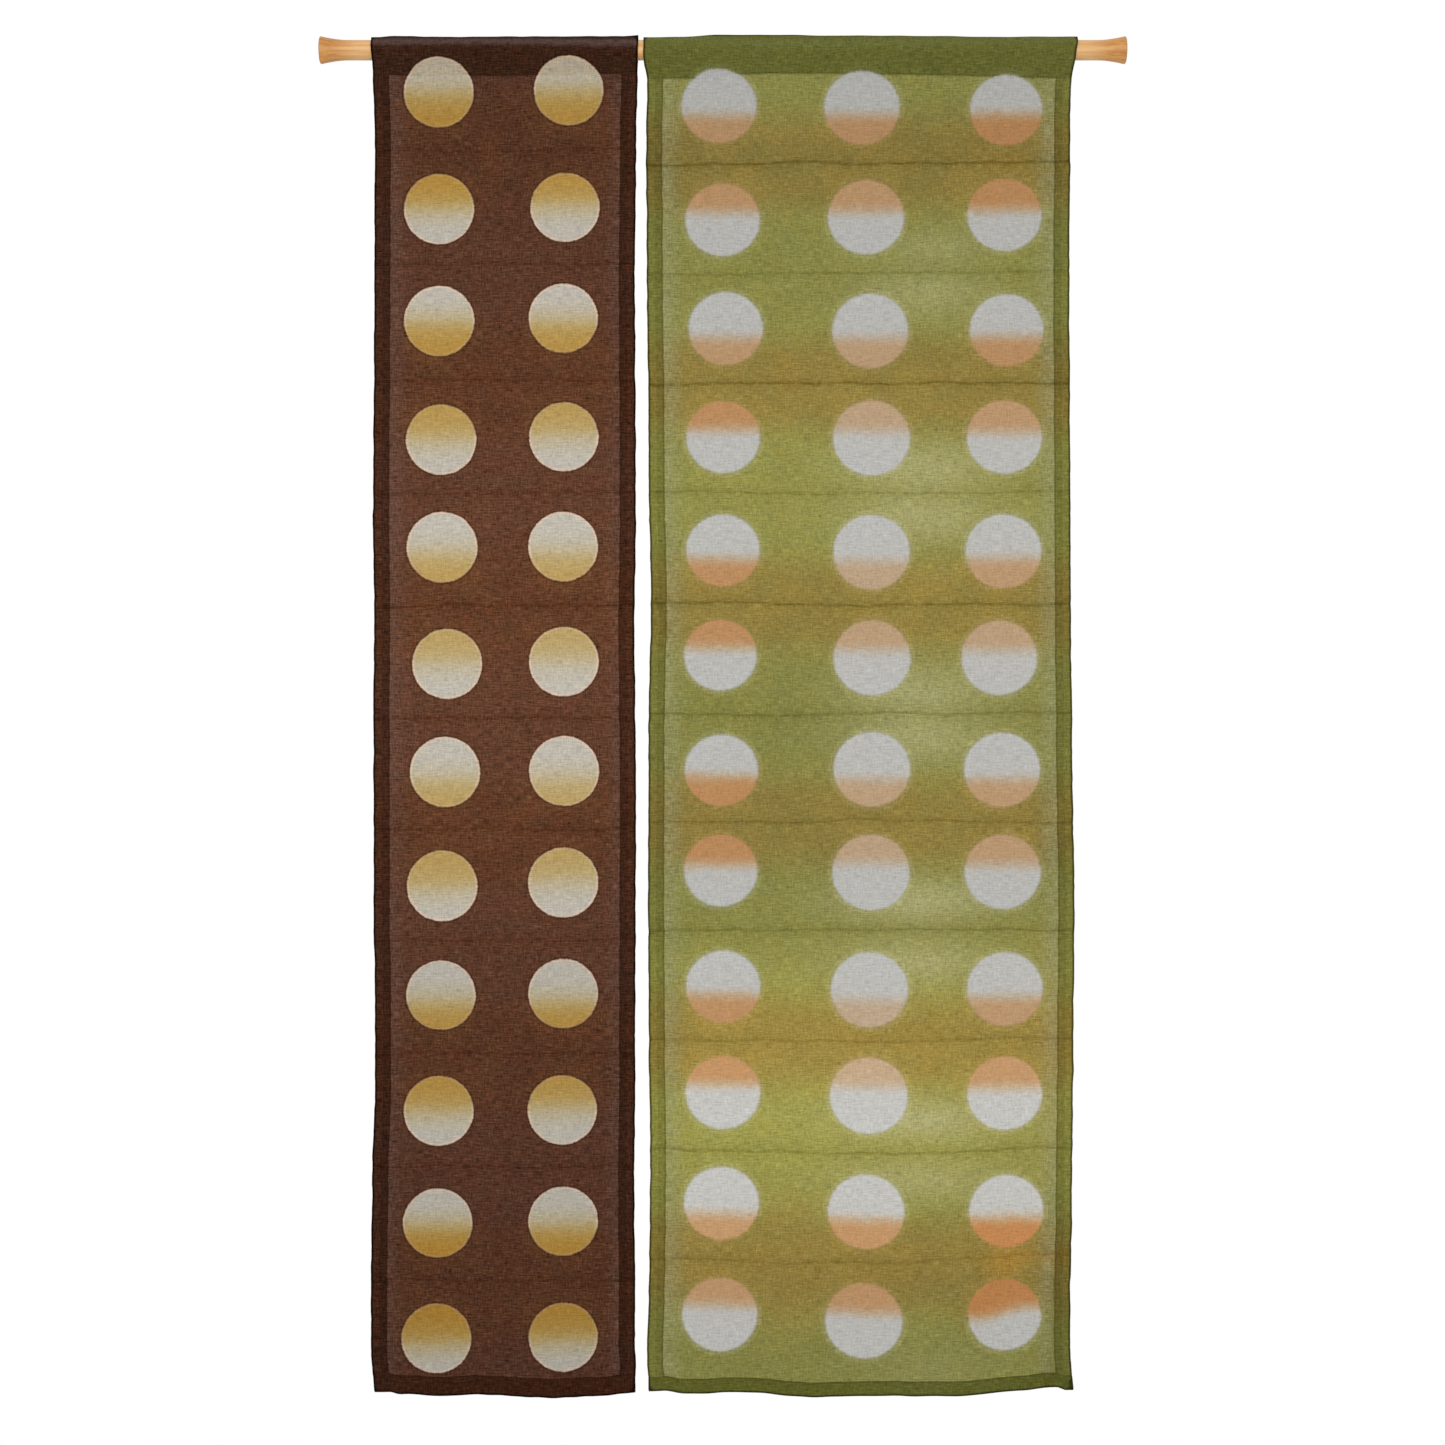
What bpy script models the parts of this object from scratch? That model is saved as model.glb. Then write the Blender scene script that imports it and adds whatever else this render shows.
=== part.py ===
"""A noren: two dyed cloth panels, one narrow and one wide, hanging side by side on a turned wooden rod.

Metres, +Z up. The origin is on the rod's axis, halfway along it. The rod runs along X, the cloth
hangs below it close to the plane Y = 0, and its front faces -Y.
"""
import math
from collections import namedtuple

import bmesh
import bpy

# The rod: a plain round shaft that flares into a small trumpet at each end
ROD_LENGTH = 1.007
ROD_RADIUS = 0.0125
ROD_END_RADIUS = 0.017
ROD_FLARE_LENGTH = 0.034
ROD_FLARE_POWER = 1.7
ROD_FLARE_STEPS = 5
ROD_RIM_ROUND = 0.0018
ROD_SIDES = 32

# The cloth: one sheet for each panel, with its edges turned over to the back
CLOTH_THICKNESS = 0.0012
HEM_THICKNESS = 0.0020
SIDE_HEM_WIDTH = 0.0200
HEM_STEP = 0.0008
BOTTOM_HEM_ROWS = 2

# The rod pocket: the top of the sheet passes over the rod and comes down behind to the stitch line.
# It lies round the rod up to the shoulder angle, measured from straight up, and leaves it there for
# the pressed fold that stands a little above the rod.
ROD_CLEARANCE = 0.0006
POCKET_SHOULDER = math.radians(41.5)
POCKET_FOLD_SOFTNESS = math.radians(5.7)
POCKET_SIDE_STEPS = 4
POCKET_FOLD_ANGLES = (math.radians(24.0), math.radians(9.0))
SEAM_HEIGHT = 0.0016

# The cloth's shape below the pocket
CREASE_HALF_WIDTH = 0.008
FOLD_GROWTH = 1.3

# Columns of the tables below. Heights are Z, left and right are X, and share runs from 0 at a
# panel's left edge to 1 at its right edge. Back is how far the cloth stands behind the plane Y = 0.
SideEdges = namedtuple("SideEdges", "height left right")
BottomEdge = namedtuple("BottomEdge", "share height")
Crease = namedtuple("Crease", "left middle right back groove")
Fold = namedtuple("Fold", "share half_width back")
Panel = namedtuple("Panel", "name colour stitch_height bottom_hem columns sides bottom creases folds")

BROWN_SIDES = (
    SideEdges(0.020, -0.4394, -0.1058),
    SideEdges(-0.025, -0.4372, -0.1066),
    SideEdges(-0.100, -0.4356, -0.1081),
    SideEdges(-0.300, -0.4356, -0.1106),
    SideEdges(-0.600, -0.4372, -0.1094),
    SideEdges(-0.700, -0.4356, -0.1117),
    SideEdges(-0.900, -0.4356, -0.1094),
    SideEdges(-1.200, -0.4331, -0.1106),
    SideEdges(-1.400, -0.4381, -0.1117),
    SideEdges(-1.550, -0.4394, -0.1108),
    SideEdges(-1.690, -0.4356, -0.1094),
)
BROWN_BOTTOM = (
    BottomEdge(0.00, -1.6755),
    BottomEdge(0.07, -1.6770),
    BottomEdge(0.25, -1.6825),
    BottomEdge(0.42, -1.6803),
    BottomEdge(0.68, -1.6835),
    BottomEdge(0.86, -1.6825),
    BottomEdge(1.00, -1.6785),
)
BROWN_CREASES = (
    Crease(-0.1260, -0.1250, -0.1245, 0.0010, 0.0004),
    Crease(-0.2680, -0.2675, -0.2665, -0.0008, 0.0004),
    Crease(-0.4130, -0.4120, -0.4125, 0.0014, 0.0006),
    Crease(-0.5545, -0.5530, -0.5540, -0.0010, 0.0004),
    Crease(-0.6945, -0.6935, -0.6930, 0.0012, 0.0005),
    Crease(-0.8355, -0.8350, -0.8340, -0.0012, 0.0005),
    Crease(-0.9745, -0.9735, -0.9740, 0.0013, 0.0006),
    Crease(-1.1130, -1.1120, -1.1125, -0.0009, 0.0004),
    Crease(-1.2545, -1.2535, -1.2540, 0.0012, 0.0005),
    Crease(-1.3950, -1.3960, -1.3945, -0.0011, 0.0005),
    Crease(-1.5380, -1.5370, -1.5375, 0.0010, 0.0004),
)
BROWN_FOLDS = (
    Fold(0.00, 0.22, -0.0035),
    Fold(0.27, 0.26, 0.0040),
    Fold(0.62, 0.30, -0.0050),
    Fold(1.00, 0.28, 0.0030),
)

GREEN_SIDES = (
    SideEdges(0.020, -0.0994, 0.4428),
    SideEdges(-0.012, -0.0988, 0.4395),
    SideEdges(-0.038, -0.0946, 0.4354),
    SideEdges(-0.100, -0.0950, 0.4344),
    SideEdges(-0.250, -0.0944, 0.4331),
    SideEdges(-0.500, -0.0925, 0.4338),
    SideEdges(-0.700, -0.0896, 0.4350),
    SideEdges(-0.850, -0.0928, 0.4356),
    SideEdges(-1.050, -0.0931, 0.4392),
    SideEdges(-1.350, -0.0906, 0.4356),
    SideEdges(-1.575, -0.0922, 0.4333),
    SideEdges(-1.680, -0.0931, 0.4381),
)
GREEN_BOTTOM = (
    BottomEdge(0.00, -1.6750),
    BottomEdge(0.07, -1.6800),
    BottomEdge(0.21, -1.6765),
    BottomEdge(0.39, -1.6838),
    BottomEdge(0.60, -1.6815),
    BottomEdge(0.74, -1.6812),
    BottomEdge(0.88, -1.6765),
    BottomEdge(0.97, -1.6705),
    BottomEdge(1.00, -1.6725),
)
GREEN_CREASES = (
    Crease(-0.1438, -0.1400, -0.1395, 0.0018, 0.0009),
    Crease(-0.2800, -0.2788, -0.2750, -0.0012, 0.0005),
    Crease(-0.4163, -0.4155, -0.4165, 0.0020, 0.0010),
    Crease(-0.5525, -0.5540, -0.5530, -0.0010, 0.0005),
    Crease(-0.6913, -0.6938, -0.6925, 0.0017, 0.0010),
    Crease(-0.8290, -0.8295, -0.8300, -0.0014, 0.0006),
    Crease(-0.9650, -0.9640, -0.9655, 0.0019, 0.0009),
    Crease(-1.1005, -1.1000, -1.0990, -0.0011, 0.0006),
    Crease(-1.2360, -1.2406, -1.2350, 0.0020, 0.0010),
    Crease(-1.3725, -1.3805, -1.3700, -0.0013, 0.0007),
    Crease(-1.5110, -1.5188, -1.5060, 0.0021, 0.0010),
)
GREEN_FOLDS = (
    Fold(0.00, 0.14, 0.0030),
    Fold(0.18, 0.17, -0.0045),
    Fold(0.42, 0.20, 0.0060),
    Fold(0.68, 0.20, -0.0045),
    Fold(0.88, 0.14, 0.0040),
    Fold(1.00, 0.09, -0.0050),
)

PANELS = (
    Panel("brown_panel", (0.107, 0.043, 0.025, 1.0), -0.0300, 0.0225, 9,
          BROWN_SIDES, BROWN_BOTTOM, BROWN_CREASES, BROWN_FOLDS),
    Panel("green_panel", (0.270, 0.250, 0.068, 1.0), -0.0305, 0.0180, 14,
          GREEN_SIDES, GREEN_BOTTOM, GREEN_CREASES, GREEN_FOLDS),
)
ROD_COLOUR = (0.690, 0.400, 0.180, 1.0)
ROD_ROUGHNESS = 0.45
CLOTH_ROUGHNESS = 0.85
SHARPEST_SMOOTH_ANGLE = math.radians(38.0)
MERGE_DISTANCE = 0.00001


def clear_scene():
    """Removes whatever the opened file holds."""
    for thing in list(bpy.data.objects):
        bpy.data.objects.remove(thing)


def plain_material(name, colour, roughness):
    """A Principled material with one colour."""
    material = bpy.data.materials.new(name)
    material.use_nodes = True
    shader = material.node_tree.nodes["Principled BSDF"]
    shader.inputs["Base Color"].default_value = colour
    shader.inputs["Roughness"].default_value = roughness
    shader.inputs["Metallic"].default_value = 0.0
    return material


def add_object(name, mesh_builder, material):
    """Turns a finished bmesh into an object, smooth but for its sharp edges."""
    bmesh.ops.recalc_face_normals(mesh_builder, faces=mesh_builder.faces)
    mesh = bpy.data.meshes.new(name)
    mesh_builder.to_mesh(mesh)
    mesh_builder.free()
    mesh.materials.append(material)
    mesh.shade_smooth()
    mesh.set_sharp_from_angle(angle=SHARPEST_SMOOTH_ANGLE)
    bpy.context.scene.collection.objects.link(bpy.data.objects.new(name, mesh))


def eased(places, values, place):
    """Reads values given at rising places, easing in and out between one place and the next."""
    if place <= places[0]:
        return values[0]
    for low, high, start, end in zip(places, places[1:], values, values[1:]):
        if place <= high:
            part = (place - low) / (high - low)
            return start + (end - start) * part * part * (3.0 - 2.0 * part)
    return values[-1]


def bump(distance):
    """A soft hump: 1 in the middle, 0 from a distance of 1 on."""
    if abs(distance) >= 1.0:
        return 0.0
    return 0.5 + 0.5 * math.cos(math.pi * distance)


def rod_profile():
    """The rod's outline above its axis, as (X, radius) from the left end's centre to the right end's."""
    half = ROD_LENGTH / 2
    rim = ROD_RIM_ROUND * (1.0 - math.sin(math.radians(45)))
    end = [(half, 0.0), (half, ROD_END_RADIUS - ROD_RIM_ROUND), (half - rim, ROD_END_RADIUS - rim)]
    flare = ROD_FLARE_LENGTH - ROD_RIM_ROUND
    for step in range(ROD_FLARE_STEPS + 1):
        part = 1.0 - step / ROD_FLARE_STEPS
        radius = ROD_RADIUS + (ROD_END_RADIUS - ROD_RADIUS) * part ** ROD_FLARE_POWER
        end.append((half - ROD_FLARE_LENGTH + flare * part, radius))
    mirrored = [(-x, radius) for x, radius in end]
    return mirrored + end[::-1]


def build_rod():
    """The rod, turned from its outline."""
    builder = bmesh.new()
    outline = [builder.verts.new((x, 0.0, radius)) for x, radius in rod_profile()]
    edges = [builder.edges.new(pair) for pair in zip(outline, outline[1:])]
    bmesh.ops.spin(builder, geom=outline + edges, cent=(0, 0, 0), axis=(1, 0, 0),
                   angle=2 * math.pi, steps=ROD_SIDES, use_merge=True)
    bmesh.ops.remove_doubles(builder, verts=builder.verts, dist=MERGE_DISTANCE)
    add_object("rod", builder, plain_material("rod", ROD_COLOUR, ROD_ROUGHNESS))


def side_x(panel, share, height):
    """The X of a point at a share of the panel's width, between its side edges at that height."""
    heights = [row.height for row in panel.sides][::-1]
    left = eased(heights, [row.left for row in panel.sides][::-1], height)
    right = eased(heights, [row.right for row in panel.sides][::-1], height)
    return left + share * (right - left)


def crease_height(crease, share):
    """The height of a crease at a share of the panel's width."""
    return eased((0.0, 0.5, 1.0), (crease.left, crease.middle, crease.right), share)


def bottom_height(panel, share):
    """The height of the bottom edge at a share of the panel's width."""
    return eased([row.share for row in panel.bottom], [row.height for row in panel.bottom], share)


def cloth_back(panel, share, height):
    """How far the middle of the sheet stands behind the plane Y = 0."""
    lowest = bottom_height(panel, share)
    drop = (panel.stitch_height - height) / (panel.stitch_height - lowest)
    back = sum(fold.back * bump((share - fold.share) / fold.half_width) for fold in panel.folds)
    back *= max(drop, 0.0) ** FOLD_GROWTH
    knots = [(lowest, 0.0)]
    for crease in reversed(panel.creases):
        middle = crease_height(crease, share)
        knots.append((middle, crease.back))
        back += crease.groove * max(0.0, 1.0 - abs(height - middle) / CREASE_HALF_WIDTH)
    knots.append((panel.stitch_height, 0.0))
    for (low, start), (high, end) in zip(knots, knots[1:]):
        if low <= height <= high:
            back += start + (end - start) * (height - low) / (high - low)
            break
    return back


def row_heights(panel, share):
    """Heights of the rows of points below the pocket, from the bottom edge up to the stitch line."""
    bottom = bottom_height(panel, share)
    hem_top = bottom + panel.bottom_hem
    heights = [bottom, hem_top - HEM_STEP / 2, hem_top + HEM_STEP / 2]
    for crease in reversed(panel.creases):
        middle = crease_height(crease, share)
        heights.append((heights[-1] + middle - CREASE_HALF_WIDTH) / 2)
        heights += [middle - CREASE_HALF_WIDTH, middle, middle + CREASE_HALF_WIDTH]
    heights.append((heights[-1] + panel.stitch_height) / 2)
    return heights + [panel.stitch_height - HEM_STEP, panel.stitch_height]


def pocket_loop(radius, bottom):
    """One skin of the pocket as (Y, Z), from the point behind the bottom, over the rod, to the front.

    The skin lies at the radius around the rod, rises to the soft top fold, and runs straight from
    the rod's sides to the bottom point.
    """
    bottom_y, bottom_z = bottom
    reach = math.hypot(bottom_y, bottom_z)
    leave = math.pi - math.acos(radius / reach) - math.atan2(bottom_y, -bottom_z)
    span = (leave - POCKET_SHOULDER) / POCKET_SIDE_STEPS
    angles = [leave - span * step for step in range(POCKET_SIDE_STEPS + 1)]
    angles += POCKET_FOLD_ANGLES
    skin = [(bottom_y, bottom_z)]
    for angle in angles + [0.0] + [-angle for angle in reversed(angles)]:
        lift = POCKET_SHOULDER - math.hypot(angle, POCKET_FOLD_SOFTNESS)
        distance = radius / math.cos(max(0.0, lift))
        skin.append((distance * math.sin(angle), distance * math.cos(angle)))
    skin.append((-bottom_y, bottom_z))
    return skin


def panel_section(panel, share, hemmed):
    """A cut through the panel at one share of its width: back rows, front rows and pocket skins."""
    thickness = HEM_THICKNESS if hemmed else CLOTH_THICKNESS
    front_y = CLOTH_THICKNESS / 2
    heights = row_heights(panel, share)
    back_rows = []
    front_rows = []
    for row, height in enumerate(heights):
        layered = row < BOTTOM_HEM_ROWS or row == len(heights) - 1
        depth = HEM_THICKNESS if layered or hemmed else CLOTH_THICKNESS
        middle = cloth_back(panel, share, height)
        front_rows.append((middle - front_y, height))
        back_rows.append((middle - front_y + depth, height))
    inner_radius = ROD_RADIUS + ROD_CLEARANCE
    outer = pocket_loop(inner_radius + thickness, (front_y, panel.stitch_height))[1:-1]
    inner = pocket_loop(inner_radius, (0.0, panel.stitch_height + SEAM_HEIGHT))[:-1]
    return [[(side_x(panel, share, z), y, z) for y, z in line]
            for line in (back_rows, front_rows, outer, inner)]


def panel_columns(panel):
    """Shares of the width where the panel is cut, each with whether a side hem lies there."""
    width = panel.sides[0].right - panel.sides[0].left
    hem = SIDE_HEM_WIDTH / width
    step = HEM_STEP / width
    columns = [(0.0, True), (hem, True)]
    for column in range(panel.columns):
        columns.append((hem + step + (1.0 - 2 * (hem + step)) * column / (panel.columns - 1), False))
    return columns + [(1.0 - hem, True), (1.0, True)]


def build_panel(panel):
    """One panel as a single closed sheet, lofted from its left edge to its right edge."""
    builder = bmesh.new()
    cuts = []
    for share, hemmed in panel_columns(panel):
        lines = panel_section(panel, share, hemmed)
        cuts.append([[builder.verts.new(point) for point in line] for line in lines])
    for this, following in zip(cuts, cuts[1:]):
        outside, next_outside = (back + outer + front[::-1] for back, front, outer, _ in (this, following))
        for loop, next_loop in ((outside, next_outside), (this[3], following[3])):
            for point, after in enumerate(list(range(1, len(loop))) + [0]):
                builder.faces.new((loop[point], loop[after], next_loop[after], next_loop[point]))
    for back, front, outer, inner in (cuts[0], cuts[-1]):
        for row in range(len(back) - 1):
            builder.faces.new((back[row], back[row + 1], front[row + 1], front[row]))
        builder.faces.new((back[-1], inner[0], front[-1]))
        around = [back[-1]] + outer + [front[-1]]
        hole = inner + [inner[0]]
        for point in range(len(around) - 1):
            builder.faces.new((around[point], around[point + 1], hole[point + 1], hole[point]))
    add_object(panel.name, builder, plain_material(panel.name, panel.colour, CLOTH_ROUGHNESS))


clear_scene()
build_rod()
for each_panel in PANELS:
    build_panel(each_panel)
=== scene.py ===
"""The looks of a noren: two dyed hemp panels, one brown and one green, on a turned wooden rod.

Metres, +Z up, the rod along X with its middle at the origin, the cloth's front facing -Y.
"""
import math
from collections import namedtuple
from types import SimpleNamespace

import bpy
import numpy as np
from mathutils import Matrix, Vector, noise


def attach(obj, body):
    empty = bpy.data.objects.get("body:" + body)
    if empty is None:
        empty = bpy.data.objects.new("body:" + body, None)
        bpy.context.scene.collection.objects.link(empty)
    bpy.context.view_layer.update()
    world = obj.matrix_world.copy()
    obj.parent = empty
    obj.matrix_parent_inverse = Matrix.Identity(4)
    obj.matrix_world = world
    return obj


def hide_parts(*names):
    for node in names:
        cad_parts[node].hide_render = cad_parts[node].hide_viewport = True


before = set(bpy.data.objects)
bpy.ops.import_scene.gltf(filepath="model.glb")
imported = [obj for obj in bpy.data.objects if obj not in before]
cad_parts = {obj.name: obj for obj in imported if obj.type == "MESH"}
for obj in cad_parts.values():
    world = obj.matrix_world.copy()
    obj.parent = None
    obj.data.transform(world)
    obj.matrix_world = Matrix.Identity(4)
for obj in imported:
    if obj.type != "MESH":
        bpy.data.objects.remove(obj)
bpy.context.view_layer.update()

# The rod
ROD_LENGTH = 1.007
ROD_RADIUS = 0.0125
ROD_END_RADIUS = 0.017
ROD_FLARE_LENGTH = 0.034
ROD_FLARE_POWER = 1.7
ROD_FLARE_STEPS = 20
ROD_RIM_ROUND = 0.0018
ROD_RIM_STEPS = 6
ROD_SIDES = 96
ROD_END_RING = 0.45
ROD_SHARP_ANGLE = math.radians(50)

# The cloth and its hems. A hem is the cloth's edge turned over to the back.
CLOTH_THICKNESS = 0.00035
TURN_RADIUS = 0.0004
TURN_ANGLES = (math.radians(45), math.radians(90), math.radians(135))
SIDE_HEM_WIDTH = 0.0200
HEM_SPACING = 0.0060
NEAR_HEM_EDGE = (0.0010,)
NEAR_SIDE_HEM = (0.0010, 0.0030)
HEM_STEP_REACH = 0.006
HEM_STEP = 0.005
SEWN_IN = 0.008
SEWN_IN_LEAN = 0.30
SHEERNESS = 0.18

# The rod pocket, as a path of the cloth's middle around the rod
ROD_CLEARANCE = 0.0013
POCKET_SHOULDER = math.radians(41.5)
POCKET_FOLD_SOFTNESS = math.radians(5.7)
POCKET_STEP = math.radians(5.5)
POCKET_RUN_ROWS = 6
POCKET_PEAK_ROWS = 9
POCKET_WAVE = 0.0008
POCKET_WAVE_SIZE = (0.06, 0.02)
POCKET_PEAK_WAVE = 0.0009
POCKET_PEAK_WIDTH = 0.07
BACK_LAYER = 0.0013

# Creases, folds and unevenness below the pocket
CREASE_HALF_WIDTH = 0.008
CREASE_LINE = 0.0022
CREASE_LINE_DEPTH = 0.00035
CREASE_WANDER = 0.0034
CREASE_WANDER_WIDTHS = (0.14, 0.035)
CREASE_WANDER_TALL = 0.05
FOLD_GROWTH = 1.3
CRUMPLE_START = 12.0
PUCKER_REACH = 0.010
EDGE_WOBBLE = 0.0009
WOBBLE_LENGTHS = (0.024, 0.008)
BOTTOM_WOBBLE_WIDTH = 0.05
FAR_AWAY = -9.0
NEAR_ROWS = (0.0010, 0.0022, 0.0040, 0.0075)
LEAN_REACH = 0.09
BAND_INSET = 0.0025

# Waves of the crumpled cloth, as (depth, width, height), and the puckers beside the hems
CRUMPLES = ((0.0011, 0.110, 0.075), (0.0004, 0.050, 0.012), (0.0002, 0.014, 0.012))
PUCKERS = (0.0006, 0.030, 0.011)

# Patches of noise on the cloth, as ((width, height), detail, roughness)
CLOTH_NOISES = {
    "cloud": ((0.055, 0.040), 3.0, 0.5),
    "drift": ((0.031, 0.023), 2.0, 0.5),
    "patch": ((0.016, 0.014), 3.0, 0.5),
    "bleed": ((0.0045, 0.0030), 2.0, 0.5),
    "speck": ((0.0036, 0.0029), 1.0, 0.5),
    "fleck": ((0.0034, 0.0016), 3.0, 0.7),
    "weft": ((0.0125, 0.0018), 3.0, 0.65),
    "warp": ((0.0018, 0.0100), 3.0, 0.65),
}

# The stitches, with each ring of one stitch as (place along it, width, height above the cloth)
STITCH_INSET = 0.0014
STITCH_PITCH = 0.0033
STITCH_SLANT = 0.10
STITCH_SLANT_SPREAD = 9.0
STITCH_SLANT_SIZE = (0.02, 0.004)
LOWEST_STITCH = -1.655
SIDE_STITCHES_END = 0.008
ACROSS_STITCHES_END = 0.006
SEAM_STITCH_DROP = 0.0008
STITCH_SIDES = 5
STITCH_RINGS = ((-0.0014, 0.00004, -0.00012), (-0.0008, 0.00020, 0.00012),
                (0.0008, 0.00020, 0.00012), (0.0014, 0.00004, -0.00012))

# The camera, the light and the floor
SENSOR_WIDTH = 36.0
PICTURE_WIDTH = 1.80625
CAMERA_DISTANCE = 3.5
CAMERA_SIDE = -0.0005
CAMERA_HEIGHT = -0.840325
WORLD_STRENGTH = 1.0
LAMP_SIZE = 2.5
LAMP_POWER = 110.0
LAMP_PLACE = (-0.5, -4.8, 0.6)
LAMP_TARGET = (0.0, 0.0, -0.8)
FLOOR_RADIUS = 0.90
FLOOR_SIDES = 96
FLOOR_COLOUR = (0.9, 0.9, 0.9)
FLOOR_HEIGHT = -2.06

# Columns of the tables. Heights are Z, left and right are X, share runs from 0 at a panel's left
# edge to 1 at its right edge, and back is how far the cloth stands behind the plane Y = 0. In a row
# of dots, depths say how strongly each dot is dyed, starts how far into the band of dye that colour
# begins, and leans how steeply its line climbs to the right. The plain tables have these columns:
# sides height, left, right; top share, lift; seam share, sag; bottom share, height; folds share,
# half width, back; clouds the X and Z of their middle, their reach across and up, their strength.
Crease = namedtuple("Crease", "left middle right back groove strength")
DotRow = namedtuple("DotRow", "heights places radii depths starts light leans", defaults=[(0, 0, 0)])

# How bright a white card looks in this light, against one that shows as its own colour
CARD_BRIGHTNESS = 1.06
WHITE = (1.0, 1.0, 1.0)


def paint(red, green, blue):
    """The surface colour that shows on a screen as these values, from 0 to 255, in this light."""
    shown = [value / 255 for value in (red, green, blue)]
    linear = [v / 12.92 if v <= 0.04045 else ((v + 0.055) / 1.055) ** 2.4 for v in shown]
    return [value / CARD_BRIGHTNESS for value in linear] + [1.0]


def table(kind, *rows):
    """The rows of a table with named columns."""
    return [kind(*row) for row in rows]


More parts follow.
